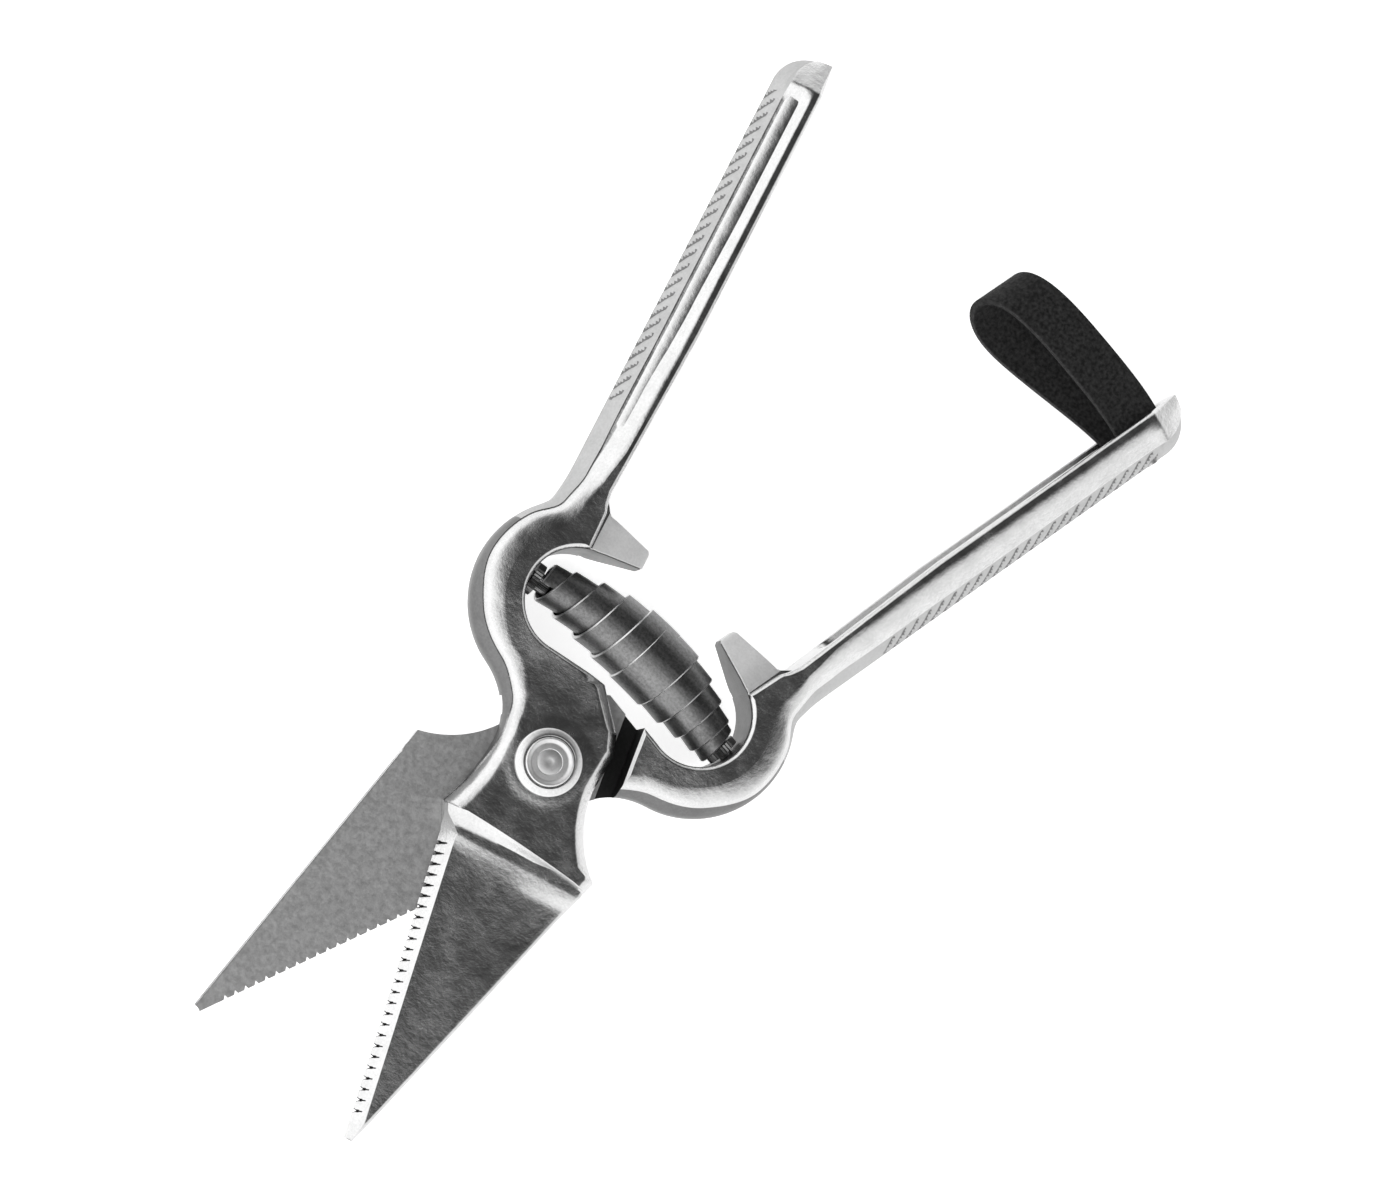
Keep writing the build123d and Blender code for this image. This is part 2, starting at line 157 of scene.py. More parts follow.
def polished_steel(
    name, tone, rough_low, rough_high, mottle, grit=1.0, stretch=(1, 1, 1), cloud_scale=160,
):
    """Steel with a cloudy sheen, fine scratches and small pits; stretch draws the clouds out into streaks."""
    steel = bpy.data.materials.new(name)
    steel.use_nodes = True
    tree = steel.node_tree
    link = tree.links.new
    face = tree.nodes["Principled BSDF"]
    face.inputs["Metallic"].default_value = 1.0
    place = metal_node(tree, "ShaderNodeTexCoord")
    cloud = metal_node(tree, "ShaderNodeTexNoise")
    cloud.inputs["Scale"].default_value = cloud_scale
    cloud.inputs["Detail"].default_value = 7
    cloud.inputs["Roughness"].default_value = 0.62
    drawn = metal_node(tree, "ShaderNodeMapping")
    drawn.inputs["Scale"].default_value = stretch
    link(place.outputs["Object"], drawn.inputs["Vector"])
    link(drawn.outputs["Vector"], cloud.inputs["Vector"])
    speck = metal_node(tree, "ShaderNodeTexNoise")
    speck.inputs["Scale"].default_value = 1900
    speck.inputs["Detail"].default_value = 4
    speck.inputs["Roughness"].default_value = 0.7
    link(place.outputs["Object"], speck.inputs["Vector"])
    sheen = metal_node(tree, "ShaderNodeMapRange")
    sheen.inputs["From Min"].default_value = 0.32
    sheen.inputs["From Max"].default_value = 0.70
    sheen.inputs["To Min"].default_value = rough_low
    sheen.inputs["To Max"].default_value = rough_high
    link(cloud.outputs["Fac"], sheen.inputs["Value"])
    link(sheen.outputs["Result"], face.inputs["Roughness"])
    shade = metal_node(tree, "ShaderNodeMix", data_type="RGBA")
    dark = tuple(tone * (1 - mottle) for _ in range(3))
    shade.inputs["A"].default_value = (*dark, 1)
    shade.inputs["B"].default_value = (tone, tone, tone, 1)
    blotch = metal_node(tree, "ShaderNodeMapRange")
    blotch.inputs["From Min"].default_value = 0.40
    blotch.inputs["From Max"].default_value = 0.60
    both = metal_node(tree, "ShaderNodeMath", operation="MULTIPLY_ADD")
    both.inputs[1].default_value = 0.45
    half = metal_node(tree, "ShaderNodeMath", operation="MULTIPLY")
    half.inputs[1].default_value = 0.55
    link(cloud.outputs["Fac"], half.inputs[0])
    link(speck.outputs["Fac"], both.inputs[0])
    link(half.outputs[0], both.inputs[2])
    link(both.outputs[0], blotch.inputs["Value"])
    link(blotch.outputs["Result"], shade.inputs["Factor"])
    link(shade.outputs["Result"], face.inputs["Base Color"])
    ripple = metal_node(tree, "ShaderNodeBump")
    ripple.inputs["Strength"].default_value = 0.16 * grit
    ripple.inputs["Distance"].default_value = 0.0004
    link(cloud.outputs["Fac"], ripple.inputs["Height"])
    grain = metal_node(tree, "ShaderNodeBump")
    grain.inputs["Strength"].default_value = 0.14 * grit
    grain.inputs["Distance"].default_value = 0.00007
    link(speck.outputs["Fac"], grain.inputs["Height"])
    link(ripple.outputs["Normal"], grain.inputs["Normal"])
    link(grain.outputs["Normal"], face.inputs["Normal"])
    return steel


def ease(low, high, value):
    """0 up to low, 1 from high on, with a soft start and end between."""
    part = min(max((value - low) / (high - low), 0.0), 1.0)
    return part * part * (3 - 2 * part)


def between(value, stops):
    """Reads a smooth curve given by (place, value) stops in rising order of place."""
    if value <= stops[0][0]:
        return stops[0][1]
    for (low, first), (high, last) in zip(stops, stops[1:]):
        if value <= high:
            return first + (last - first) * ease(low, high, value)
    return stops[-1][1]


def straight(value, stops):
    """Straight runs between the stops, with no easing."""
    if value <= stops[0][0]:
        return stops[0][1]
    for (low, first), (high, last) in zip(stops, stops[1:]):
        if value <= high:
            return first + (last - first) * (value - low) / (high - low)
    return stops[-1][1]


def arc_through(first, middle, last, count):
    """Points of the arc through three points, both ends included."""
    ax, ay = first
    bx, by = middle
    cx, cy = last
    turn = 2 * (ax * (by - cy) + bx * (cy - ay) + cx * (ay - by))
    a2, b2, c2 = ax * ax + ay * ay, bx * bx + by * by, cx * cx + cy * cy
    ux = (a2 * (by - cy) + b2 * (cy - ay) + c2 * (ay - by)) / turn
    uy = (a2 * (cx - bx) + b2 * (ax - cx) + c2 * (bx - ax)) / turn
    start = atan2(ay - uy, ax - ux)
    sweep = (atan2(cy - uy, cx - ux) - start + pi) % (2 * pi) - pi
    radius = hypot(ax - ux, ay - uy)
    return [
        (ux + radius * cos(start + sweep * i / count), uy + radius * sin(start + sweep * i / count))
        for i in range(count + 1)
    ]


def run_along(path, count):
    """The same path as count + 1 evenly spaced points."""
    far = [0.0]
    for here, there in zip(path, path[1:]):
        far.append(far[-1] + hypot(there[0] - here[0], there[1] - here[1]))
    points = []
    leg = 0
    for i in range(count + 1):
        want = far[-1] * i / count
        while leg < len(path) - 2 and far[leg + 1] < want:
            leg += 1
        part = (want - far[leg]) / max(far[leg + 1] - far[leg], 1e-9)
        points.append(tuple(a + (b - a) * part for a, b in zip(path[leg], path[leg + 1])))
    return points


def on_ring(radius, angle):
    return (SEAT[0] + radius * cos(radians(angle)), SEAT[1] + radius * sin(radians(angle)))


def seat_ring(radius, first, last, count):
    return [on_ring(radius, first + (last - first) * i / count) for i in range(count + 1)]


def stations():
    """Pairs of outline points, outer side and inner side, from the handle's end to the blade's point."""
    pairs = []

    def stretch(outer, inner, count, skip_first=True):
        rows = list(zip(run_along(outer, count), run_along(inner, count)))
        pairs.extend(rows[1:] if skip_first else rows)

    end_arc = [
        (HANDLE_OUT + END_ROUND * (1 + cos(radians(angle))), END_START + END_ROUND * sin(radians(angle)))
        for angle in range(114, 181, 6)
    ]
    end_inner, channel_start = (HANDLE_IN, END_START), (-11.95, GRIP_FOOT)
    stretch(end_arc, [(-11.5, 146.5), end_inner], 26, skip_first=False)
    stretch(
        [(HANDLE_OUT, END_START), (HANDLE_OUT, GRIP_FOOT)],
        [end_inner, (HANDLE_IN, 85.0), channel_start], 232,
    )
    stretch([(HANDLE_OUT, GRIP_FOOT), (HANDLE_OUT, HANDLE_FOOT)], [channel_start, (-12.5, HANDLE_FOOT)], 16)
    stretch(
        arc_through((HANDLE_OUT, HANDLE_FOOT), (-20.9, 47.6), on_ring(SEAT_OUTER, 129), 8),
        [(-12.5, HANDLE_FOOT), (-12.1, 48.2), (-11.4, 46.4), on_ring(SEAT_INNER, 103)], 14,
    )
    stretch(seat_ring(SEAT_OUTER, 129, 238, 60), seat_ring(SEAT_INNER, 103, 270, 60), 52)
    waist = arc_through(on_ring(SEAT_OUTER, 238), (-12.4, 6.9), WAIST, 24)
    stretch(waist[:11], [on_ring(SEAT_INNER, 270), (3.2, 18.2)], 12)
    stretch(waist[10:16], [(3.2, 18.2), PLATE_CORNER], 10)
    stretch(waist[15:19], [PLATE_CORNER, (11.0, 7.3)], 5)
    bolster_top = (-13.8, BOLSTER_TOP)
    lower = arc_through(WAIST, (-11.1, -7.0), bolster_top, 24)
    stretch(waist[18:] + lower[1:4], [(11.0, 7.3), (10.4, -0.5)], 10)
    stretch(lower[3:20], arc_through((10.4, -0.5), (12.4, -8.2), SHOULDER, 16), 18)
    stretch(lower[19:22] + [bolster_top], [SHOULDER, (17.8, -17.85)], 4)
    stretch([bolster_top, (-13.7, -14.78)], [(17.8, -17.85), (17.77, -17.98)], 1)
    stretch([(-13.7, -14.78), (-12.2, -17.5), (-11.95, -18.1)], [(17.77, -17.98), (17.63, -18.3)], 8)
    stretch([(-11.95, -18.1), (-11.6, -19.3)], [(17.63, -18.3), (17.4, -19.4)], 4)
    stretch([(-11.6, -19.3), EDGE_TOP], [(17.4, -19.4), BACK_TOP], 1)
    teeth_end = TOOTH_FIRST + TOOTH_PITCH * TOOTH_COUNT
    run = hypot(EDGE_TIP[0] - EDGE_TOP[0], EDGE_TIP[1] - EDGE_TOP[1])
    steps = [TOOTH_FIRST] + [
        TOOTH_FIRST + TOOTH_PITCH * (tooth + part)
        for tooth in range(TOOTH_COUNT)
        for part in (0.2, 0.45, 0.63, 0.70, 0.77, 0.83, 0.89, 0.96, 1.03)
    ]
    steps += [teeth_end + (run - teeth_end) * part for part in (0.2, 0.4, 0.6, 0.8, 0.92, 1.0)]
    for along in steps:
        part = along / run
        outer = tuple(a + (b - a) * part for a, b in zip(EDGE_TOP, EDGE_TIP))
        inner = tuple(a + (b - a) * part for a, b in zip(BACK_TOP, BACK_TIP))
        pairs.append((outer, inner))
    return pairs


def fair(path, low, high, rounds):
    """Evens out the joints of the path where its height lies between two limits."""
    for _ in range(rounds):
        path = [
            tuple((a + 2 * b + c) / 4 for a, b, c in zip(path[i - 1], here, path[i + 1]))
            if 0 < i < len(path) - 1 and low < here[1] < high else here
            for i, here in enumerate(path)
        ]
    return path


def side_normals(path, sign):
    """Unit normals of an outline side, pointing into the steel."""
    normals = []
    for i in range(len(path)):
        ahead = path[min(i + 1, len(path) - 1)]
        behind = path[max(i - 1, 0)]
        dx, dy = ahead[0] - behind[0], ahead[1] - behind[1]
        size = max(hypot(dx, dy), 1e-9)
        normals.append((-dy / size * sign, dx / size * sign))
    return normals


def face_height(x, y):
    """Half depth of the forging over its broad faces, before the bolster."""
    flat = 5.5 + 1.05 * ease(12.0, 27.0, y)
    depth = flat + (6.9 - flat) * ease(41.0, 58.0, y)
    return depth + 0.35 * (1 - ease(6.4, 9.0, hypot(x, y)))


def tooth_cut(along, into):
    """How far the serration drops the bevel at a distance along the edge and a distance into it."""
    place = (along - TOOTH_FIRST) / TOOTH_PITCH
    if place < 0 or place > TOOTH_COUNT or into >= TOOTH_DEPTH:
        return 0.0
    left = 1 - into / TOOTH_DEPTH
    return left ** 0.7 * max(0.0, 1 - abs(place % 1.0 - 0.83) / (0.17 * left + 0.03))


def rib_mark(y, part):
    """From 0 between two ribs' grooves to 1 in the middle of one, part of the way up the flank."""
    return 0.5 - 0.5 * cos(2 * pi * (y - 5.2 * part + 1.2 * part * part) / RIB_PITCH)


# The section at heights along the lever: how far the crest of its outer flank stands in and
# up, the width of the shelf along the handle, and that of the convex slope up to the broad face.
CREST_IN = ((-14.6, 0.12), (-8, 0.1), (0, 0.35), (3, 0.6), (8, 1.5), (14, 2.1), (20, 2.0), (31, 1.0),
            (40, 1.0), (46, 1.7), (52, 2.5), (60, 2.7))
CREST_UP = ((-14.6, 1.2), (-8, 1.3), (0, 2.6), (6, 3.6), (14, 4.0), (30, 4.2), (44, 4.2), (55, 3.9))
SHELF_WIDE = ((50, 0.0), (70, 1.2), (90, 2.3), (111, 2.9))
SLOPE_WIDE = ((-14.6, 3.5), (-8, 3.2), (0, 2.0), (6, 2.2), (12, 2.9), (20, 3.8), (30, 4.6), (40, 4.7),
              (49, 3.2), (60, 3.9), (70, 3.8), (90, 2.6), (111, 2.0))
SHELF_RISE = 0.40
ROUND_TOP = ((0.0, 0.0), (0.05, 0.17), (0.12, 0.36), (0.22, 0.54), (0.34, 0.67), (0.58, 0.83), (0.84, 0.95),
             (1.0, 1.0))
FLANK_BEND = ((-14.6, 1.5), (0, 2.5), (44, 3.0), (58, 1.25))
BOLSTER_FALL = ((-19.3, 3.66), (-18.1, 3.74), (-14.78, 5.32), (-14.6, 5.5))
BOLSTER_BOW = ((-26.0, 0.0), (-21.5, -0.4), (-19.3, 0.0), (-18.1, 0.8), (-14.6, 0.45), (-11.5, 0.0))
BOLSTER_SKEW = ((-19.3, 0.0), (-18.1, 0.7), (-15.0, 0.0))


def cap(y):
    """How much of its height the handle keeps as its end is rounded down."""
    return 1 - 0.66 * min(1.0, max(0.0, y - END_START + 0.4) / 8.0)


def new_piece(name, verts, faces):
    """A new object from corners and faces, linked to the scene."""
    mesh = bpy.data.meshes.new(name)
    mesh.from_pydata(verts, [], faces)
    piece = bpy.data.objects.new(name, mesh)
    studio.collection.objects.link(piece)
    return piece


# Places of the finishes in the levers' material slots. The dark sheared steel is also painted shade in the rib
# grooves, and the near-black steel is painted shade in the groove and the serration's notches.
POLISHED, GROUND, NEAR_BLACK_SHADE, SATIN, TRIM_AND_SHADE, GRIPPING = range(6)


def forge_lever(name):
    """The lever in its closed position: rounds of points across it, skinned from end to end."""
    pairs = stations()
    outer_path = fair([pair[0] for pair in pairs], -12.0, 60.0, 10)
    pairs = [(outer, pair[1]) for outer, pair in zip(outer_path, pairs)]
    inner_path = [pair[1] for pair in pairs]
    outer_in = side_normals(outer_path, 1)
    inner_in = side_normals(inner_path, -1)
    slope_parts = (0.0, 0.05, 0.12, 0.22, 0.34, 0.46, 0.58, 0.70, 0.84, 1.0)
    flank_parts = (0.0, 0.10, 0.20, 0.32, 0.44, 0.56, 0.68, 0.80, 0.90)
    shelf_parts = (0.0, 0.03, 0.08, 0.86)
    bevel_spots = len(flank_parts) + len(shelf_parts) + len(slope_parts)
    ledge = 0.2
    channel_shape = (
        (0.0, 0.74, 0.93), (0.03, 0.70, 0.80), (0.25, 0.76, 0.66), (0.5, 0.75, 0.52),
        (0.72, 0.68, 0.39), (0.87, 0.54, 0.26), (0.96, 0.34, 0.13), (1.0, 0.0, 0.0),
    )
    across = 26
    edge_run = (EDGE_TIP[0] - EDGE_TOP[0], EDGE_TIP[1] - EDGE_TOP[1])
    edge_length = hypot(*edge_run)
    rows = []
    for i, (outer, inner) in enumerate(pairs):
        width = hypot(inner[0] - outer[0], inner[1] - outer[1])
        step = ((inner[0] - outer[0]) / width, (inner[1] - outer[1]) / width)
        lean_out = 1 / max(step[0] * outer_in[i][0] + step[1] * outer_in[i][1], 0.45)
        lean_in = 1 / max(-step[0] * inner_in[i][0] - step[1] * inner_in[i][1], 0.45)
        y = outer[1]
        in_blade = y <= EDGE_TOP[1] + 1e-6
        bolster = ease(BOLSTER_TOP, -19.2, y)
        stepped = ease(BOLSTER_TOP, -15.1, y)
        crest_in = between(y, CREST_IN) * (1 - stepped)
        crest_up = between(y, CREST_UP) * (1 - stepped) + (2.6 - 2.48 * ease(-16.5, -19.1, y)) * stepped
        shelf = between(y, SHELF_WIDE)
        slope = between(y, SLOPE_WIDE) * (1 - stepped) + (0.3 + 2.3 * ease(-16.3, -19.4, y)) * stepped
        flank_bend = between(y, FLANK_BEND)

        # inner side: how wide and how deep its edge is rounded
        plate = ease(-1.0, 4.0, inner[0]) * (1 - bolster) if y < 30 else 0.0
        round_in = 0.75 + 1.45 * plate - 0.05 * bolster
        round_down = 0.75 + 1.45 * plate - 0.25 * bolster

        # both are drawn in where the steel narrows
        need = (crest_in + shelf + slope) * lean_out + round_in * lean_in
        fit = min(1.0, (1.0 if in_blade else 0.92) * width / need)
        reach = (crest_in + shelf + slope) * lean_out * fit
        sway = round_in * lean_in * fit
        fall = straight(y, BOLSTER_FALL)
        taper = 3.0 - 1.2 * (y - EDGE_TOP[1]) / (EDGE_TIP[1] - EDGE_TOP[1]) + 0.63 * exp(min(0.0, y + 19.5) / 2.0)
        loop = []

        def depth_at(x_, y_):
            return face_height(x_, y_) if y > BOLSTER_TOP + 1e-6 else fall

        def spot(distance, up):
            y_ = outer[1] + step[1] * distance
            loop.append((outer[0] + step[0] * distance, y_, up * cap(y_)))

        halves = []
        for under in (False, True):
            loop = []
            top = depth_at(outer[0] + step[0] * reach, outer[1] + step[1] * reach)
            top_of_blade = taper
            shear = 0.0
            if in_blade:
                down = outer[0] - EDGE_TOP[0], outer[1] - EDGE_TOP[1]
                along = (down[0] * edge_run[0] + down[1] * edge_run[1]) / edge_length
                rise = (top_of_blade - 0.12) / slope
                lean_back = -0.34 * min(1.0, along / 3.0)
                for k in range(bevel_spots):
                    into = slope * (0.68 * k / 15 if k <= 15 else 0.68 + 0.32 * (k - 15) / (bevel_spots - 16))
                    bite = tooth_cut(along, into)
                    edge_bite = 0.2 * bite * (1 - into / TOOTH_DEPTH) ** 2 if into < TOOTH_DEPTH else 0.0
                    far = (into + edge_bite) * lean_out * fit
                    back = lean_back * into * fit
                    loop.append((
                        outer[0] + step[0] * far + edge_run[0] / edge_length * back,
                        outer[1] + step[1] * far + edge_run[1] / edge_length * back,
                        max(0.05, 0.12 + rise * into * fit - 0.72 * bite * fit),
                    ))
                top = 0.12 + rise * slope * fit
                shear = lean_back * slope * fit
            else:
                rib = ease(66.5, 69.0, y) * (1 - ease(136.0, 138.4, y))
                up_fit = 0.75 + 0.25 * fit
                for part in flank_parts:
                    fade_out = ease(0.78, 0.9, part) if under else ease(0.58, 0.76, part)
                    gate = ease(-0.05, 0.15, part) * (1 - fade_out)
                    cut = 0.42 * rib * gate * rib_mark(y, part) ** 2.2
                    spot((crest_in * part ** flank_bend + cut) * lean_out * fit, crest_up * part * up_fit)
                rest = 0.0 if under else ledge * (1 - stepped)
                on_handle = ease(44.0, 58.0, y)
                for part in shelf_parts:
                    far = shelf * part + rest * ease(0.0, 0.08, part)
                    spot((crest_in + far) * lean_out * fit, (crest_up + SHELF_RISE * shelf * part) * up_fit)
                foot = (crest_up + SHELF_RISE * shelf) * up_fit
                for part in slope_parts:
                    round_top = straight(part, ROUND_TOP)
                    even = min(1.0, part * 1.08) if part < 0.84 else 1 - 0.09 * (1 - part) / 0.16
                    bend = (round_top * (1 - on_handle) + even * on_handle) * (1 - stepped) + part * stepped
                    far = shelf + rest + (slope - rest) * part
                    spot((crest_in + far) * lean_out * fit, foot + (top - foot) * bend)
                if under:
                    first = len(loop) - len(slope_parts) - len(shelf_parts)
                    for k in range(first, len(loop)):
                        x_, y_, z_ = loop[k]
                        gone = hypot(x_ - outer[0], y_ - outer[1]) / (lean_out * fit) - crest_in
                        part = min(1.0, max(0.0, gone / (shelf + slope)))
                        flat = (crest_up * up_fit + (top - crest_up * up_fit) * (1 - (1 - part) ** 1.5)) * cap(y_)
                        loop[k] = (x_, y_, z_ + (flat - z_) * on_handle)
            last = width - sway
            bow, skew = between(y, BOLSTER_BOW), between(y, BOLSTER_SKEW)
            for k in range(1, across):
                far = reach + (last - reach) * k / across
                x_, y_ = outer[0] + step[0] * far, outer[1] + step[1] * far
                part = far / width
                wave = bow * sin(pi * part) + skew * ease(0.6, 0.8, part) * (1 - ease(0.84, 1.0, part))
                if in_blade:
                    fade = max(0.0, 1 - 3.0 * k / across)
                    x_ += edge_run[0] / edge_length * shear * fade
                    y_ += edge_run[1] / edge_length * shear * fade
                    hollow = 0.75 * ease(0.42, 1.05, part) * ease(-46.0, -25.0, y) * ease(-20.0, -23.5, y)
                    loop.append((x_, y_ + wave, top - hollow))
                else:
                    loop.append((x_, y_ + wave, depth_at(x_, y_) * cap(y_)))
            dome = ease(135.0, 139.2, y)
            for k in range(len(flank_parts), len(loop) if dome else 0):
                x_, y_, z_ = loop[k]
                part = hypot(x_ - outer[0], y_ - outer[1]) / width
                risen = (crest_up * up_fit + (top - crest_up * up_fit) * (1 - (1 - part) ** 2.2)) * cap(y_)
                loop[k] = (x_, y_, z_ + (risen - z_) * dome)
            x_, y_ = outer[0] + step[0] * last, outer[1] + step[1] * last
            rim = top - 0.75 * ease(-46.0, -25.0, y) * ease(-20.0, -23.5, y) if in_blade else depth_at(x_, y_)
            drop = min(round_down, rim * 0.45)
            spot(last, rim)
            spot(width - sway * 0.84, rim - drop * 0.07)
            spot(width - sway * 0.3, rim - drop * 0.5)
            spot(width, rim - drop)

            # inner side: straight down the wall, or into the channel of the handle
            open_part = ease(57.0, 63.0, y) * (1 - ease(141.0, 143.2, y))
            deep = max(0.0, width - 2.0) * open_part
            for inset, hollow, wall in channel_shape:
                spot(width - deep * inset, (rim - drop) * wall * (1 - open_part) + rim * hollow * open_part)
            halves.append(loop)
        rows.append(halves)

    count = len(rows[0][0])
    verts, faces = [], []
    for over, below in rows:
        verts += over
        verts += [(x, y, -z) for x, y, z in reversed(below[1:-1])]
    ring = 2 * count - 2
    finishes = []
    for r in range(len(rows) - 1):
        x, y = outer_path[r]
        round_seat = degrees(atan2(y - SEAT[1], x - SEAT[0])) % 360
        # The flank round the lower C and the waist takes the dark steel.
        darker_flank = hypot(x - SEAT[0], y - SEAT[1]) < 23 and 152 < round_seat < 246 or -9 < y < 16
        for k in range(ring):
            n = (k + 1) % ring
            faces.append((r * ring + k, r * ring + n, (r + 1) * ring + n, (r + 1) * ring + k))
            up = min(k, ring - 1 - k)
            on_flank = up < len(flank_parts)
            part = (flank_parts[up] + 0.05) if on_flank else 0.0
            half = (y + outer_path[r + 1][1]) / 2
            # Faces at the bottoms of the rib grooves take the dark steel as painted shade.
            shaded_rib_groove = 67.5 < y < 137.0 and rib_mark(half, part) > 0.78 and 0.04 < part < (0.64 if k < count else 0.84)
            gripped = on_flank and y > 30
            finishes.append(TRIM_AND_SHADE if on_flank and (darker_flank or shaded_rib_groove) else GRIPPING if gripped else POLISHED)
    faces.append(tuple(reversed(range(ring))))
    faces.append(tuple((len(rows) - 1) * ring + k for k in range(ring)))
    lever = new_piece(name, verts, faces)
    for finish in (chrome, ground, near_black_shade_steel, satin, trim_and_shade_steel, gripping):
        lever.data.materials.append(finish)
    lever.data.polygons.foreach_set("material_index", finishes + [POLISHED, POLISHED])
    return lever


def tidy_skin(piece):
    """Merges doubles and turns all faces outwards, in edit mode."""
    bpy.ops.object.select_all(action="DESELECT")
    bpy.context.view_layer.objects.active = piece
    piece.select_set(True)
    bpy.ops.object.mode_set(mode="EDIT")
    bpy.ops.mesh.select_all(action="SELECT")
    bpy.ops.mesh.remove_doubles(threshold=0.002)
    bpy.ops.mesh.normals_make_consistent(inside=False)
    bpy.ops.object.mode_set(mode="OBJECT")
    piece.select_set(False)


def stop_tab(name):
    """The tab that stops the closing handles, thinner towards its tip."""
    rows = []
    for x in (-14.5, -13.0, -12.2, -11.6, -11.0, -10.4, -9.77, -8.0, -5.0, -2.5, -0.6, -0.1):
        inside = 1 - ease(-13.2, -11.6, x)
        if x < -9.77:
            low = SEAT[1] + sqrt(SEAT_INNER ** 2 - (x - SEAT[0]) ** 2) + 0.05 + inside * 0.8
        else:
            low = 39.26 + 0.19 * (x + 9.77)
        high = 44.9 - 0.168 * (x + 0.1) + 3.4 * max(0.0, (-10.2 - x) / 2.3) ** 1.7 * 0.9
        high = min(high, 49.0)
        half = min(5.75, 6.6 - 4.4 * (x + 11.0) / 10.9)
        if x > -0.4:
            low, high, half = low + 0.35, high - 0.35, half - 0.35
        rows.append((x, low, high, half))
    verts, faces = [], []
    for x, low, high, half in rows:
        for part, side in ((0, -1), (1, -1), (1, 1), (0, 1)):
            verts.append((x, low + (high - low) * part, half * side))
    for r in range(len(rows) - 1):
        for k in range(4):
            n = (k + 1) % 4
            faces.append((r * 4 + k, r * 4 + n, r * 4 + 4 + n, r * 4 + 4 + k))
    faces += [(3, 2, 1, 0), tuple(len(rows) * 4 - 4 + k for k in range(4))]
    tab = new_piece(name, verts, faces)
    tidy_skin(tab)
    softened = tab.modifiers.new("edges", "BEVEL")
    softened.width = 0.35
    softened.segments = 3
    softened.limit_method = "ANGLE"
    softened.angle_limit = radians(50)
    apply_all(tab)
    return tab


def apply_all(piece):
    bpy.ops.object.select_all(action="DESELECT")
    bpy.context.view_layer.objects.active = piece
    piece.select_set(True)
    for step in [each.name for each in piece.modifiers]:
        bpy.ops.object.modifier_apply(modifier=step)
    piece.select_set(False)


def prism(name, outline, low, high):
    """A straight block over an outline, from one height to another."""
    count = len(outline)
    verts = [(x, y, low) for x, y in outline] + [(x, y, high) for x, y in outline]
    faces = [tuple(reversed(range(count))), tuple(range(count, 2 * count))]
    faces += [(k, (k + 1) % count, (k + 1) % count + count, k + count) for k in range(count)]
    block = new_piece(name, verts, faces)
    tidy_skin(block)
    return block


def cut_or_join(piece, tool, operation):
    trim = piece.modifiers.new("trim", "BOOLEAN")
    trim.operation = operation
    trim.object = tool
    trim.solver = "EXACT"
    apply_all(piece)
    bpy.data.objects.remove(tool, do_unlink=True)


def shoulder_wedge(name):
    """Takes the sharp edge off the shoulder beside the groove, following its height."""
    verts, faces = [], []
    for part in (-0.12, 0.1, 0.3, 0.5, 0.7, 0.85, 1.0, 1.15):
        x, y = (low + (high - low) * part for low, high in zip(GROOVE_LOW, GROOVE_HIGH))
        face = face_height(x, y)
        for beside, up in ((-1.0, face + 0.4), (0.4, face + 0.4), (0.4, face - 1.0)):
            verts.append((x + GROOVE_SIDE[0] * beside, y + GROOVE_SIDE[1] * beside, -up))
    last = len(verts) - 3
    for start in range(0, last, 3):
        for k in range(3):
            n = (k + 1) % 3
            faces.append((start + k, start + n, start + 3 + n, start + 3 + k))
    faces += [(2, 1, 0), (last, last + 1, last + 2)]
    wedge = new_piece(name, verts, faces)
    tidy_skin(wedge)
    return wedge


def place_lever(piece, turned_over):
    """From its closed place in millimetres to where it stands on the pivot, in metres."""
    turn = radians(HALF_OPEN)
    if turned_over:
        sides = (Vector((-cos(turn), sin(turn), 0)), Vector((sin(turn), cos(turn), 0)), Vector((0, 0, -1)))
    else:
        sides = (Vector((cos(turn), sin(turn), 0)), Vector((-sin(turn), cos(turn), 0)), Vector((0, 0, 1)))
    seat = Matrix([[side[row] for side in sides] for row in range(3)]).to_4x4()
    piece.data.transform(Matrix.Translation((0, 0, MID * MM)) @ seat @ Matrix.Scale(MM, 4))
    piece.data.update()


chrome = polished_steel("chromed_steel", 0.68, 0.14, 0.30, 0.13, grit=2.8, cloud_scale=230)
ground = polished_steel("ground_steel", 0.62, 0.48, 0.58, 0.22, cloud_scale=900)
satin = polished_steel("satin_steel", 0.86, 0.55, 0.68, 0.12, grit=0.5)
# Dark steel: the sheared faces of the tab and the seat, the darker flank of the lower C and the waist, and painted
# shade in the rib grooves.
trim_and_shade_steel = polished_steel("trim_and_painted_shade_steel", 0.19, 0.30, 0.45, 0.25)
gripping = polished_steel("knurled_steel", 0.50, 0.40, 0.52, 0.18)
# Near-black steel: painted shade on the groove's floor and inner wall and in the serration's notches.
near_black_shade_steel = polished_steel("near_black_painted_shade", 0.05, 0.55, 0.70, 0.30)


def in_notch(x, y, z):
    """True on the walls of the serration, between one tooth's crest and the next."""
    run_x, run_y = EDGE_TIP[0] - EDGE_TOP[0], EDGE_TIP[1] - EDGE_TOP[1]
    size = hypot(run_x, run_y)
    into = ((x - EDGE_TOP[0]) * -run_y + (y - EDGE_TOP[1]) * run_x) / size
    along = ((x - EDGE_TOP[0]) * run_x + (y - EDGE_TOP[1]) * run_y) / size + 0.17 * into
    return y < EDGE_TOP[1] and z > 0.11 and -0.2 < into < TOOTH_DEPTH * 0.98 and tooth_cut(along, into) > 0.03


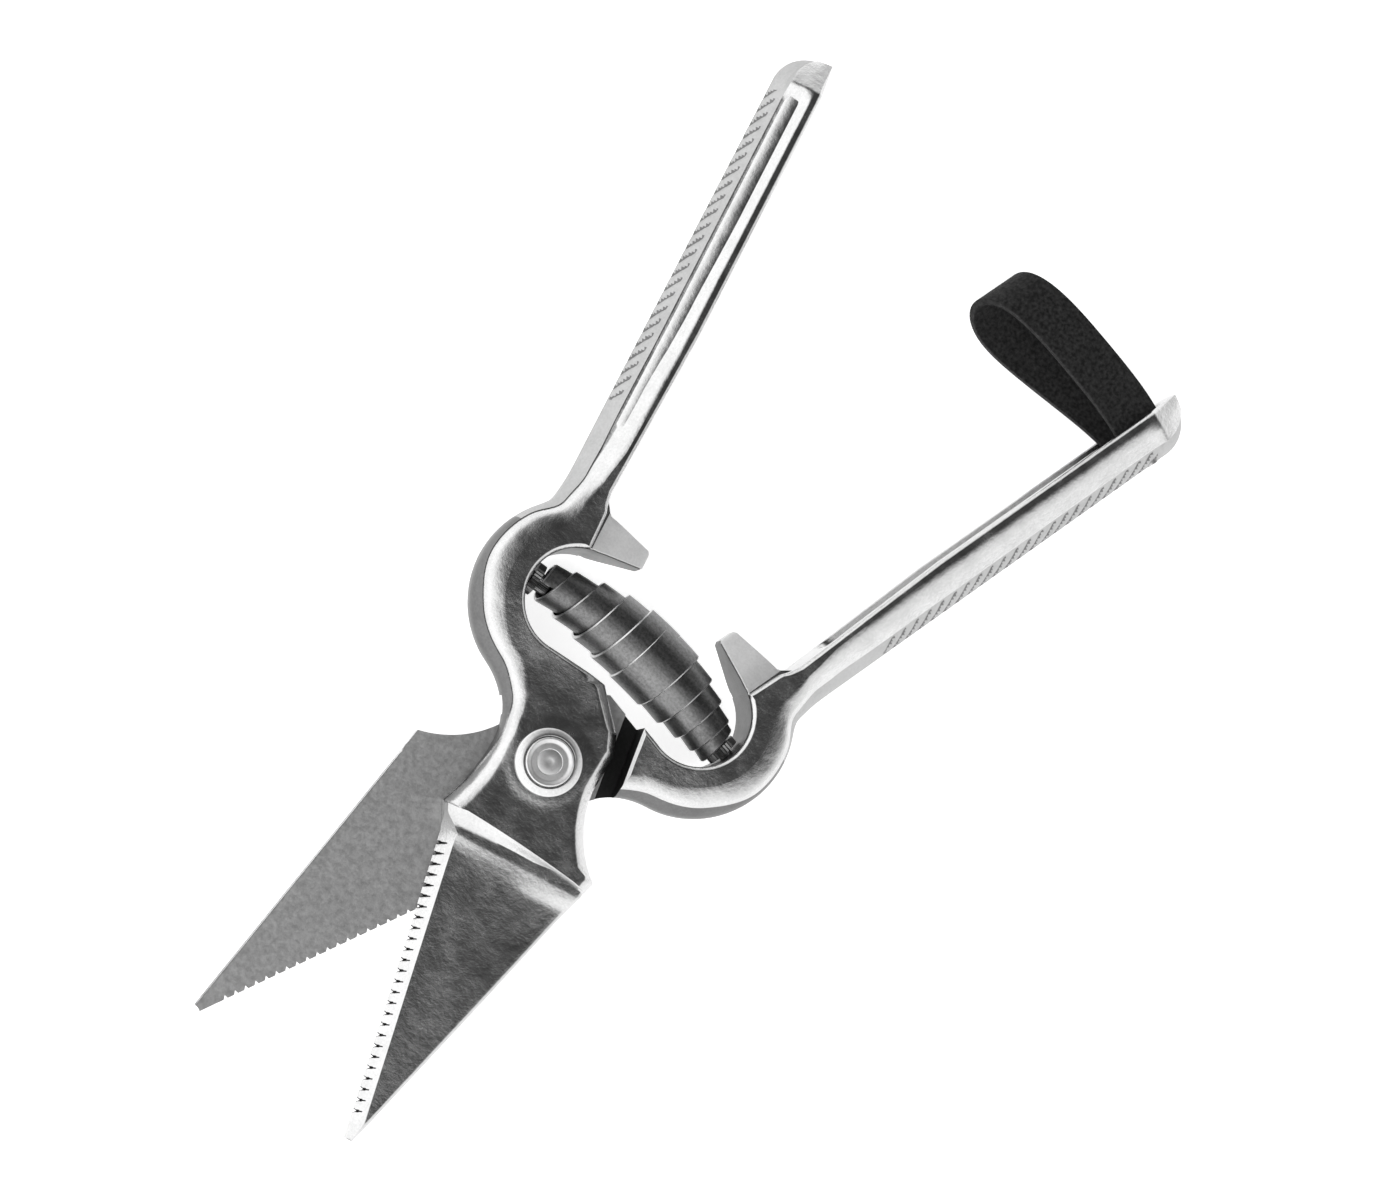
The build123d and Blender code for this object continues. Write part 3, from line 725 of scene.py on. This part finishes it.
def soften(piece, chosen, width):
    """Rounds the sharp edges whose two ends are both among the chosen corners."""
    mesh = piece.data
    picked = {corner.index for corner in mesh.vertices if chosen(*corner.co)}
    beside = {}
    for face in mesh.polygons:
        for key in face.edge_keys:
            beside.setdefault(key, []).append(face.normal.copy())
    for group in (mesh.vertices, mesh.edges, mesh.polygons):
        for each in group:
            each.select = False
    for edge in mesh.edges:
        sides = beside.get(edge.key, [])
        sharp = len(sides) == 2 and sides[0].dot(sides[1]) < 0.8
        edge.select = sharp and all(index in picked for index in edge.vertices)
    bpy.context.view_layer.objects.active = piece
    piece.select_set(True)
    bpy.ops.object.mode_set(mode="EDIT")
    bpy.ops.mesh.select_mode(type="EDGE")
    bpy.ops.mesh.bevel(offset=width, segments=3)
    bpy.ops.mesh.select_mode(type="VERT")
    bpy.ops.object.mode_set(mode="OBJECT")
    piece.select_set(False)


def on_back(x, y):
    """True along the blade's straight back."""
    run_x, run_y = BACK_TIP[0] - BACK_TOP[0], BACK_TIP[1] - BACK_TOP[1]
    return abs((x - BACK_TOP[0]) * run_y - (y - BACK_TOP[1]) * run_x) / hypot(run_x, run_y) < 0.08


def finish_of(x, y, z, normal):
    """Which finish the lap, the groove, the serration, the tab, the seat and the shoulder take; the groove and the
    serration's notches take near-black steel as painted shade.
    """
    beside_groove = GROOVE_SIDE[0] * (x - GROOVE_LOW[0]) + GROOVE_SIDE[1] * (y - GROOVE_LOW[1])
    from_seat = hypot(x - SEAT[0], y - SEAT[1])
    if abs(z - LAP_LEVEL) < 0.01 and abs(normal.z) > 0.9:
        return GROUND
    # The groove's floor and the walls of the serration's notches: near-black steel, painted shade.
    if -0.01 < beside_groove < 3.25 and abs(z - GROOVE_LEVEL) < 0.01 or in_notch(x, y, z):
        return NEAR_BLACK_SHADE
    if x > -10.9 and 38.0 < y < 47.0:
        return TRIM_AND_SHADE if normal.y < -0.5 else SATIN
    if abs(normal.z) < 0.5 and abs(from_seat - SEAT_INNER) < 0.25:
        return TRIM_AND_SHADE
    # The groove's inner wall: near-black steel, painted shade.
    if abs(beside_groove) < 0.02 and z < GROOVE_LEVEL - 0.05 and abs(normal.z) < 0.3:
        return NEAR_BLACK_SHADE
    if -0.6 < beside_groove < 0 and z < -2 and 0.5 < -normal.z < 0.9 and normal.x > 0.4:
        return SATIN
    return POLISHED


front_lever = forge_lever("front_forging")
tidy_skin(front_lever)
cut_or_join(front_lever, stop_tab("tab_tool"), "UNION")
past_blade = (GROOVE_LOW[0], -85.0), (30.0, -85.0), (30.0, GROOVE_HIGH[1])
lap = prism("lap_tool", [GROOVE_HIGH, GROOVE_LOW, *past_blade], -9.0, LAP_LEVEL)
cut_or_join(front_lever, lap, "DIFFERENCE")
far_side = (-14.37, -0.11), (-0.37, 20.19)
groove = prism("groove_tool", [GROOVE_HIGH, GROOVE_LOW, *far_side], -9.0, GROOVE_LEVEL)
cut_or_join(front_lever, groove, "DIFFERENCE")
cut_or_join(front_lever, shoulder_wedge("shoulder_tool"), "DIFFERENCE")
soften(front_lever, lambda x, y, z: abs(z - LAP_LEVEL) < 0.01 and y < -20.5 and on_back(x, y), 0.3)
for face in front_lever.data.polygons:
    face.material_index = finish_of(*face.center, face.normal) or face.material_index
rear_lever = front_lever.copy()
rear_lever.data = front_lever.data.copy()
rear_lever.name = "rear_forging"
studio.collection.objects.link(rear_lever)
for lever, turned_over, body, node in (
    (front_lever, False, "front_half", "front_lever"),
    (rear_lever, True, "rear_half", "rear_lever"),
):
    place_lever(lever, turned_over)
    bpy.ops.object.select_all(action="DESELECT")
    bpy.context.view_layer.objects.active = lever
    lever.select_set(True)
    bpy.ops.object.shade_smooth_by_angle(angle=radians(32))
    weighed = lever.modifiers.new("weighed", "WEIGHTED_NORMAL")
    weighed.keep_sharp = True
    weighed.weight = 60
    apply_all(lever)
    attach(lever, body)
    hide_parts(node)


# Cup washers: two turned steel rings with rounded shoulders, one on each lever's boss.
# They spread the load of the rivet heads, and are polished with the levers.
WASHER_SEAT = 5.95


def turned_ring(name, rings, closed):
    """A turned part: a circle drawn out ring by ring, each given as radius and height in millimetres."""
    bpy.ops.object.select_all(action="DESELECT")
    radius, height = rings[0]
    bpy.ops.mesh.primitive_circle_add(vertices=96, radius=radius * MM, location=(0, 0, height * MM))
    part = bpy.context.object
    part.name = name
    bpy.ops.object.transform_apply(location=True, rotation=True, scale=True)
    bpy.ops.object.mode_set(mode="EDIT")
    bpy.ops.mesh.select_all(action="SELECT")
    for wide, high in rings[1:]:
        bpy.ops.mesh.extrude_region_move(TRANSFORM_OT_translate={"value": (0, 0, (high - height) * MM)})
        grow = wide / radius
        bpy.ops.transform.resize(value=(grow, grow, 1), center_override=(0, 0, high * MM))
        radius, height = wide, high
    if closed:
        bpy.ops.mesh.select_all(action="SELECT")
        bpy.ops.mesh.remove_doubles(threshold=0.000002)
    else:
        bpy.ops.mesh.edge_face_add()
        bpy.ops.mesh.select_all(action="DESELECT")
        bpy.ops.mesh.select_non_manifold()
        bpy.ops.mesh.edge_face_add()
    bpy.ops.mesh.select_all(action="SELECT")
    bpy.ops.mesh.normals_make_consistent(inside=False)
    bpy.ops.object.mode_set(mode="OBJECT")
    bpy.ops.object.shade_smooth_by_angle(angle=radians(28))
    part.select_set(False)
    return part


WASHER_RINGS = (
    (3.6, 0.0), (6.38, 0.0), (6.42, 0.08), (6.42, 0.30), (6.36, 0.46), (6.2, 0.60), (5.9, 0.78), (5.5, 1.02),
    (5.2, 1.18), (5.0, 1.25), (4.88, 1.22), (4.8, 1.1), (4.76, 0.6), (3.6, 0.6), (3.6, 0.0),
)
washer_face = polished_steel("washer_steel", 0.72, 0.14, 0.26, 0.15)
for name, node, body, side in (
    ("front_washer", "front_cup_washer", "front_half", 1),
    ("rear_washer", "rear_cup_washer", "front_half", -1),
):
    rings = [(wide, MID + side * (WASHER_SEAT + high)) for wide, high in WASHER_RINGS]
    washer = turned_ring(name, rings, True)
    washer.data.materials.append(washer_face)
    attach(washer, body)
    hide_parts(node)


# Pivot rivet: one steel rivet through both levers and both washers.
# Its front head is turned with a dished middle and a centre mark, and its rear end is peened.
HEAD_RINGS = (
    (4.62, 6.60), (4.62, 7.20), (4.56, 7.40), (4.44, 7.50), (4.3, 7.53), (4.14, 7.48), (3.8, 7.28),
    (3.62, 7.19), (3.5, 7.16), (3.3, 7.17), (2.7, 7.19), (2.5, 7.18), (2.4, 7.12), (2.3, 7.12), (2.2, 7.17),
    (1.3, 7.20), (0.9, 7.20), (0.7, 7.15), (0.45, 7.10), (0.2, 7.08),
)
PEEN_RINGS = ((4.62, 6.60), (4.62, 7.10), (4.5, 7.30), (4.2, 7.44), (3.6, 7.52), (2.6, 7.57), (1.2, 7.59))
rivet_rings = [(wide, MID - high) for wide, high in reversed(PEEN_RINGS)]
rivet_rings += [(3.5, MID - 6.60), (3.5, MID + 6.60)]
rivet_rings += [(wide, MID + high) for wide, high in HEAD_RINGS]
rivet = turned_ring("rivet", rivet_rings, False)
rivet_face = polished_steel("turned_steel", 0.84, 0.44, 0.56, 0.14, grit=0.5)
rivet.data.materials.append(rivet_face)
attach(rivet, "front_half")
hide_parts("pivot_rivet")


# Spring studs: a knurled steel stud pressed into each lever's seat.
# The collar stands off the wall and its peg centres the spring's end coil.
STUD_TEETH = 30


def stud(name, base_side, body, node):
    bpy.ops.object.select_all(action="DESELECT")
    bpy.ops.mesh.primitive_cylinder_add(
        vertices=2 * STUD_TEETH, radius=3.2 * MM, depth=1.5 * MM, location=(0, 0, 1.55 * MM),
    )
    part = bpy.context.object
    part.name = name
    bpy.ops.object.transform_apply(location=True, rotation=True, scale=True)
    for index, corner in enumerate(part.data.vertices):
        if hypot(corner.co.x, corner.co.y) > 3 * MM and index % 4 < 2:
            corner.co.x *= 0.93
            corner.co.y *= 0.93
    bpy.ops.object.mode_set(mode="EDIT")
    bpy.ops.mesh.select_all(action="DESELECT")
    bpy.ops.object.mode_set(mode="OBJECT")
    for face in part.data.polygons:
        face.select = face.normal.z > 0.9
    bpy.ops.object.mode_set(mode="EDIT")
    bpy.ops.mesh.inset(thickness=0.0003, depth=0.0001)
    bpy.ops.mesh.inset(thickness=0.0008, depth=0.0)
    bpy.ops.mesh.extrude_region_move(TRANSFORM_OT_translate={"value": (0, 0, 0.0023)})
    bpy.ops.mesh.inset(thickness=0.0004, depth=0.0003)
    bpy.ops.mesh.select_all(action="DESELECT")
    bpy.ops.object.mode_set(mode="OBJECT")
    for face in part.data.polygons:
        face.select = face.normal.z < -0.9
    bpy.ops.object.mode_set(mode="EDIT")
    bpy.ops.mesh.inset(thickness=0.0015, depth=0.0)
    bpy.ops.mesh.extrude_region_move(TRANSFORM_OT_translate={"value": (0, 0, -0.0035)})
    bpy.ops.mesh.select_all(action="DESELECT")
    bpy.ops.object.mode_set(mode="OBJECT")
    bpy.ops.object.shade_smooth_by_angle(angle=radians(30))
    foot = on_ring(SEAT_INNER, 174)
    lean = radians(-7)
    out = Vector((cos(lean), sin(lean), 0))
    turn = radians(HALF_OPEN)
    if base_side < 0:
        ex, ey = Vector((-cos(turn), sin(turn), 0)), Vector((sin(turn), cos(turn), 0))
    else:
        ex, ey = Vector((cos(turn), sin(turn), 0)), Vector((-sin(turn), cos(turn), 0))
    axis = ex * out.x + ey * out.y
    seat = (ex * foot[0] + ey * foot[1]) * MM + Vector((0, 0, MID * MM))
    part.data.transform(Matrix.Translation(seat) @ axis.to_track_quat("Z", "Y").to_matrix().to_4x4())
    part.data.materials.append(stud_face)
    part.select_set(False)
    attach(part, body)
    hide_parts(node)
    return part


stud_face = polished_steel("stud_steel", 0.30, 0.25, 0.40, 0.40)
stud("front_stud", 1, "front_half", "front_spring_stud")
stud("rear_stud", -1, "rear_half", "rear_spring_stud")


# Volute spring: one strip of spring steel, wound into a double volute that telescopes.
# It is oil-blackened after winding, so only the ground edges of the strip shine.
SPRING_AXIS = (25.5, 7.6)
SPRING_HALF = 22.95
STRIP = 0.62
STRIP_BEVEL = 0.24
COIL_RADIUS = ((0, 4.0), (1, 5.05), (2, 6.2), (3, 7.0), (4, 7.55), (5, 7.15), (6, 6.2), (7, 5.2), (8, 4.3))
COIL_LEFT = ((-0.6, -24.5), (0, -22.2), (1, -17.6), (2, -12.1), (3, -7.2), (4, -1.8), (5, 1.8), (6, 5.5),
             (7, 9.4), (8, 13.5), (8.6, 16.0))
COIL_RIGHT = ((-0.6, -16.0), (0, -13.5), (1, -9.4), (2, -4.6), (3, 0.4), (4, 5.8), (5, 11.0), (6, 15.5),
              (7, 19.4), (8, 22.8), (8.6, 25.0))


per_turn = 56
verts, faces = [], []
turns = [-0.6 + k / per_turn for k in range(int(9.2 * per_turn) + 1)]
for turn in turns:
    radius = straight(turn, COIL_RADIUS)
    left = max(-SPRING_HALF, straight(turn, COIL_LEFT))
    right = min(SPRING_HALF, straight(turn, COIL_RIGHT))
    if right - left < 1.2:
        left, right = (right - 1.2, right) if left > 0 else (left, left + 1.2)
    angle = 2 * pi * turn + radians(200)
    for along, rise in (
        (left, STRIP_BEVEL), (left + STRIP_BEVEL, 0.0),
        (left + (right - left) * 0.33, 0.0), (left + (right - left) * 0.67, 0.0),
        (right - STRIP_BEVEL, 0.0), (right, STRIP_BEVEL), (right, STRIP - 0.08), (right - 0.08, STRIP),
        (left + (right - left) * 0.5, STRIP), (left + 0.08, STRIP), (left, STRIP - 0.08),
    ):
        bow = 3.15 * (1 - (along / SPRING_HALF) ** 2) - 0.015 * along
        verts.append((
            along, SPRING_AXIS[0] + bow + (radius - rise) * sin(angle), SPRING_AXIS[1] + (radius - rise) * cos(angle),
        ))
loop = 11
for r in range(len(turns) - 1):
    for k in range(loop):
        n = (k + 1) % loop
        faces.append((r * loop + k, r * loop + n, (r + 1) * loop + n, (r + 1) * loop + k))
faces.append(tuple(reversed(range(loop))))
faces.append(tuple((len(turns) - 1) * loop + k for k in range(loop)))
spring = new_piece("volute", [(x * MM, y * MM, z * MM) for x, y, z in verts], faces)
bpy.context.view_layer.objects.active = spring
spring.select_set(True)
bpy.ops.object.mode_set(mode="EDIT")
bpy.ops.mesh.select_all(action="SELECT")
bpy.ops.mesh.normals_make_consistent(inside=False)
bpy.ops.object.mode_set(mode="OBJECT")
bpy.ops.object.shade_smooth_by_angle(angle=radians(40))
spring.select_set(False)
black_steel = polished_steel("blued_steel", 0.30, 0.38, 0.52, 0.55, grit=1.4, stretch=(0.2, 1.6, 1.6))
bright_edge = polished_steel("ground_edge", 0.85, 0.30, 0.45, 0.20)
spring.data.materials.append(black_steel)
spring.data.materials.append(bright_edge)
for face in spring.data.polygons:
    if abs(face.normal.x) > 0.5 and len(face.vertices) == 4:
        face.material_index = 1
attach(spring, "spring")
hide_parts("volute_spring")
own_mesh(spring)


# Latch strap: a loop of black leather, cut as one band and riveted to the floor of the
# rear channel. It slips over the front handle's end to keep the shears shut.
STRAP_LOOP = (
    (-17.75, 135.4, -1.4), (-17.5, 135.4, -2.6), (-16.0, 135.4, -3.4), (-11.3, 134.9, -3.9), (-6.0, 133.6, -4.6),
    (1.0, 131.4, -5.4), (8.0, 129.1, -5.9), (14.0, 127.2, -5.9), (19.0, 126.1, -5.2), (23.0, 126.2, -3.4),
    (25.2, 127.2, -0.6), (25.0, 128.8, 2.4), (22.6, 130.1, 4.8), (18.6, 131.2, 6.2), (13.0, 132.3, 6.7),
    (6.0, 133.4, 6.4), (-1.0, 134.5, 5.8), (-7.0, 135.3, 5.0), (-11.3, 135.6, 4.1), (-16.0, 135.4, 3.4),
    (-17.5, 135.4, 2.6), (-17.75, 135.4, 1.4),
)
STRAP_HALF = 5.05
STRAP_THICK = 1.5


def rear_place(x, y, up):
    """A point of the closed rear lever's plane, raised above the meeting plane, in metres."""
    turn = radians(HALF_OPEN)
    return Vector((-cos(turn) * x + sin(turn) * y, sin(turn) * x + cos(turn) * y, MID + up)) * MM


route = bpy.data.curves.new("strap_route", "CURVE")
route.dimensions = "3D"
route.resolution_u = 5
line = route.splines.new("NURBS")
line.points.add(len(STRAP_LOOP) - 1)
for bead, (x, y, up) in zip(line.points, STRAP_LOOP):
    bead.co = (x, y, up, 1)
line.order_u = 4
line.use_cyclic_u = True
guide = bpy.data.objects.new("strap_route", route)
studio.collection.objects.link(guide)
middle = [corner.co.copy() for corner in bpy.data.meshes.new_from_object(guide).vertices]
bpy.data.objects.remove(guide, do_unlink=True)
verts, faces = [], []
ACROSS_STRAP = (-1.0, -0.97, -0.6, -0.2, 0.2, 0.6, 0.97, 1.0)
wide = len(ACROSS_STRAP)
for bead in middle:
    for part in ACROSS_STRAP:
        verts.append(rear_place(bead.x, bead.y + STRAP_HALF * part, bead.z))
for r in range(len(middle)):
    here, there = r * wide, (r + 1) % len(middle) * wide
    for k in range(wide - 1):
        faces.append((here + k, here + k + 1, there + k + 1, there + k))
strap = new_piece("strap", verts, faces)
thick = strap.modifiers.new("thick", "SOLIDIFY")
thick.thickness = STRAP_THICK * MM
thick.offset = 0
rounded = strap.modifiers.new("rounded", "BEVEL")
rounded.width = 0.0003
rounded.segments = 3
rounded.limit_method = "ANGLE"
rounded.angle_limit = radians(60)
apply_all(strap)
strap.select_set(True)
bpy.context.view_layer.objects.active = strap
bpy.ops.object.shade_smooth_by_angle(angle=radians(50))
strap.select_set(False)
leather = bpy.data.materials.new("black_leather")
leather.use_nodes = True
tree = leather.node_tree
hide = tree.nodes["Principled BSDF"]
hide.inputs["Specular IOR Level"].default_value = 0.15
place = metal_node(tree, "ShaderNodeTexCoord")
pores = metal_node(tree, "ShaderNodeTexVoronoi")
pores.inputs["Scale"].default_value = 1500
creases = metal_node(tree, "ShaderNodeTexNoise")
creases.inputs["Scale"].default_value = 1400
creases.inputs["Detail"].default_value = 6
dye = metal_node(tree, "ShaderNodeValToRGB")
dye.color_ramp.elements[0].position = 0.35
dye.color_ramp.elements[0].color = (0.008, 0.008, 0.008, 1)
dye.color_ramp.elements[1].position = 0.75
dye.color_ramp.elements[1].color = (0.04, 0.04, 0.04, 1)
wear = metal_node(tree, "ShaderNodeMapRange")
wear.inputs["To Min"].default_value = 0.55
wear.inputs["To Max"].default_value = 0.78
grain = metal_node(tree, "ShaderNodeBump")
grain.inputs["Strength"].default_value = 0.5
grain.inputs["Distance"].default_value = 0.00015
folds = metal_node(tree, "ShaderNodeBump")
folds.inputs["Strength"].default_value = 0.35
folds.inputs["Distance"].default_value = 0.0003
for source, target in (
    (place.outputs["Object"], pores.inputs["Vector"]), (place.outputs["Object"], creases.inputs["Vector"]),
    (creases.outputs["Fac"], dye.inputs["Fac"]), (dye.outputs["Color"], hide.inputs["Base Color"]),
    (creases.outputs["Fac"], wear.inputs["Value"]), (wear.outputs["Result"], hide.inputs["Roughness"]),
    (creases.outputs["Fac"], folds.inputs["Height"]), (folds.outputs["Normal"], grain.inputs["Normal"]),
    (pores.outputs["Distance"], grain.inputs["Height"]), (grain.outputs["Normal"], hide.inputs["Normal"]),
):
    tree.links.new(source, target)
strap.data.materials.append(leather)
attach(strap, "rear_half")
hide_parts("latch_strap")
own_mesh(strap)


# Strap rivet and its washer: a small steel rivet, flush outside, that clamps the strap's root
# to the channel floor through a thin washer, so that the leather doesn't tear.
for node in ("strap_rivet", "strap_washer"):
    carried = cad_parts[node]
    carried.data.materials.clear()
    carried.data.materials.append(ground)
